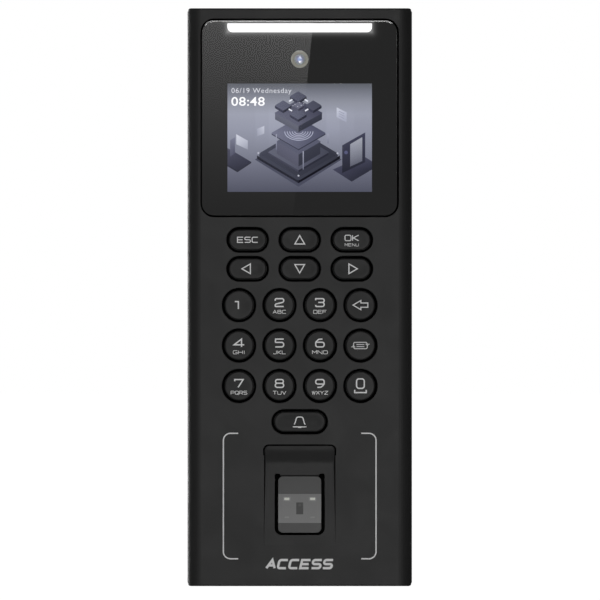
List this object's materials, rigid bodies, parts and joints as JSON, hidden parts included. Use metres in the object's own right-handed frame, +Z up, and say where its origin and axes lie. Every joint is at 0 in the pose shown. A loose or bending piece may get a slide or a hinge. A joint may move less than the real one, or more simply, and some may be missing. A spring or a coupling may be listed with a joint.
{
  "type": "fingerprint access terminal",
  "caption": "Slim wall-mounted access terminal: tall dark housing with display window, status light, camera, round keypad, doorbell key and a sloping fingerprint recess.",
  "frame": {"origin": "centre of the wall plate's rear face, in the plane of the wall", "axes": "+Z up, +Y into the wall, so that the front faces -Y, and +X to the right of a person facing the terminal"},
  "size_m": [0.0764, 0.028, 0.1954],
  "materials": {
    "adhesive_foam": "matte",
    "bezel_plastic": "matte",
    "camera_plastic": "satin",
    "circuit_board": "satin",
    "contact_gold": "satin",
    "cover_plastic": "matte",
    "diffuser_plastic": "satin",
    "header_plastic": "matte",
    "key_plastic": "matte",
    "lcd_cell": "satin",
    "lens_glass": "polished",
    "mat_silicone": "matte",
    "plate_steel": "satin",
    "prism_glass": "polished",
    "relay_plastic": "satin",
    "screw_steel": "satin",
    "seal_rubber": "matte",
    "shell_plastic": "matte",
    "socket_metal": "satin",
    "tray_steel": "satin",
    "window_glass": "polished"
  },
  "bodies": {
    "terminal": {"board_screws": "screw_steel", "buzzer": "camera_plastic", "camera_barrel": "camera_plastic", "camera_board": "circuit_board", "camera_lens": "lens_glass", "card_antenna": "circuit_board", "case_screws": "screw_steel", "clock_cell": "tray_steel", "contact_pads": "contact_gold", "display_glass": "window_glass", "door_relay": "relay_plastic", "front_shell": "shell_plastic", "glass_adhesive": "adhesive_foam", "header_pins": "contact_gold", "keypad_board": "circuit_board", "keypad_mat": "mat_silicone", "lcd_frame": "tray_steel", "lcd_panel": "lcd_cell", "light_bar": "diffuser_plastic", "light_bar_board": "circuit_board", "locking_screw": "screw_steel", "loudspeaker": "camera_plastic", "main_board": "circuit_board", "microphone": "tray_steel", "network_socket": "socket_metal", "perimeter_gasket": "seal_rubber", "processor_shield": "tray_steel", "rear_cover": "cover_plastic", "sensor_bezel": "bezel_plastic", "sensor_board": "circuit_board", "sensor_camera": "camera_plastic", "sensor_housing": "bezel_plastic", "sensor_leds": "diffuser_plastic", "sensor_prism": "prism_glass", "tamper_spring": "screw_steel", "tamper_switch": "camera_plastic", "wall_plate": "plate_steel", "wiring_header": "header_plastic"},
    "key_0": {"key_0": "key_plastic"},
    "key_1": {"key_1": "key_plastic"},
    "key_2": {"key_2": "key_plastic"},
    "key_3": {"key_3": "key_plastic"},
    "key_4": {"key_4": "key_plastic"},
    "key_5": {"key_5": "key_plastic"},
    "key_6": {"key_6": "key_plastic"},
    "key_7": {"key_7": "key_plastic"},
    "key_8": {"key_8": "key_plastic"},
    "key_9": {"key_9": "key_plastic"},
    "key_back": {"key_back": "key_plastic"},
    "key_bell": {"key_bell": "key_plastic"},
    "key_card": {"key_card": "key_plastic"},
    "key_down": {"key_down": "key_plastic"},
    "key_esc": {"key_esc": "key_plastic"},
    "key_left": {"key_left": "key_plastic"},
    "key_ok": {"key_ok": "key_plastic"},
    "key_right": {"key_right": "key_plastic"},
    "key_up": {"key_up": "key_plastic"},
    "tamper_plunger": {"tamper_plunger": "header_plastic"}
  },
  "joints": [
    {"name": "key_0_press", "type": "slide", "parent": "terminal", "child": "key_0", "axis": [0, 1, 0], "range_m": [0, 0.001], "stiffness_N_per_m": 400, "springref_m": -0.0006, "deforming": ["keypad_mat"]},
    {"name": "key_1_press", "type": "slide", "parent": "terminal", "child": "key_1", "axis": [0, 1, 0], "range_m": [0, 0.001], "stiffness_N_per_m": 400, "springref_m": -0.0006},
    {"name": "key_2_press", "type": "slide", "parent": "terminal", "child": "key_2", "axis": [0, 1, 0], "range_m": [0, 0.001], "stiffness_N_per_m": 400, "springref_m": -0.0006},
    {"name": "key_3_press", "type": "slide", "parent": "terminal", "child": "key_3", "axis": [0, 1, 0], "range_m": [0, 0.001], "stiffness_N_per_m": 400, "springref_m": -0.0006},
    {"name": "key_4_press", "type": "slide", "parent": "terminal", "child": "key_4", "axis": [0, 1, 0], "range_m": [0, 0.001], "stiffness_N_per_m": 400, "springref_m": -0.0006},
    {"name": "key_5_press", "type": "slide", "parent": "terminal", "child": "key_5", "axis": [0, 1, 0], "range_m": [0, 0.001], "stiffness_N_per_m": 400, "springref_m": -0.0006},
    {"name": "key_6_press", "type": "slide", "parent": "terminal", "child": "key_6", "axis": [0, 1, 0], "range_m": [0, 0.001], "stiffness_N_per_m": 400, "springref_m": -0.0006},
    {"name": "key_7_press", "type": "slide", "parent": "terminal", "child": "key_7", "axis": [0, 1, 0], "range_m": [0, 0.001], "stiffness_N_per_m": 400, "springref_m": -0.0006},
    {"name": "key_8_press", "type": "slide", "parent": "terminal", "child": "key_8", "axis": [0, 1, 0], "range_m": [0, 0.001], "stiffness_N_per_m": 400, "springref_m": -0.0006},
    {"name": "key_9_press", "type": "slide", "parent": "terminal", "child": "key_9", "axis": [0, 1, 0], "range_m": [0, 0.001], "stiffness_N_per_m": 400, "springref_m": -0.0006},
    {"name": "key_back_press", "type": "slide", "parent": "terminal", "child": "key_back", "axis": [0, 1, 0], "range_m": [0, 0.001], "stiffness_N_per_m": 400, "springref_m": -0.0006},
    {"name": "key_bell_press", "type": "slide", "parent": "terminal", "child": "key_bell", "axis": [0, 1, 0], "range_m": [0, 0.001], "stiffness_N_per_m": 400, "springref_m": -0.0006},
    {"name": "key_card_press", "type": "slide", "parent": "terminal", "child": "key_card", "axis": [0, 1, 0], "range_m": [0, 0.001], "stiffness_N_per_m": 400, "springref_m": -0.0006},
    {"name": "key_down_press", "type": "slide", "parent": "terminal", "child": "key_down", "axis": [0, 1, 0], "range_m": [0, 0.001], "stiffness_N_per_m": 400, "springref_m": -0.0006},
    {"name": "key_esc_press", "type": "slide", "parent": "terminal", "child": "key_esc", "axis": [0, 1, 0], "range_m": [0, 0.001], "stiffness_N_per_m": 400, "springref_m": -0.0006},
    {"name": "key_left_press", "type": "slide", "parent": "terminal", "child": "key_left", "axis": [0, 1, 0], "range_m": [0, 0.001], "stiffness_N_per_m": 400, "springref_m": -0.0006},
    {"name": "key_ok_press", "type": "slide", "parent": "terminal", "child": "key_ok", "axis": [0, 1, 0], "range_m": [0, 0.001], "stiffness_N_per_m": 400, "springref_m": -0.0006},
    {"name": "key_right_press", "type": "slide", "parent": "terminal", "child": "key_right", "axis": [0, 1, 0], "range_m": [0, 0.001], "stiffness_N_per_m": 400, "springref_m": -0.0006},
    {"name": "key_up_press", "type": "slide", "parent": "terminal", "child": "key_up", "axis": [0, 1, 0], "range_m": [0, 0.001], "stiffness_N_per_m": 400, "springref_m": -0.0006},
    {"name": "tamper_plunger_slide", "type": "slide", "parent": "terminal", "child": "tamper_plunger", "axis": [0, 1, 0], "range_m": [-0.0012, 0], "stiffness_N_per_m": 300, "springref_m": 0.0015, "deforming": ["tamper_spring"]}
  ]
}
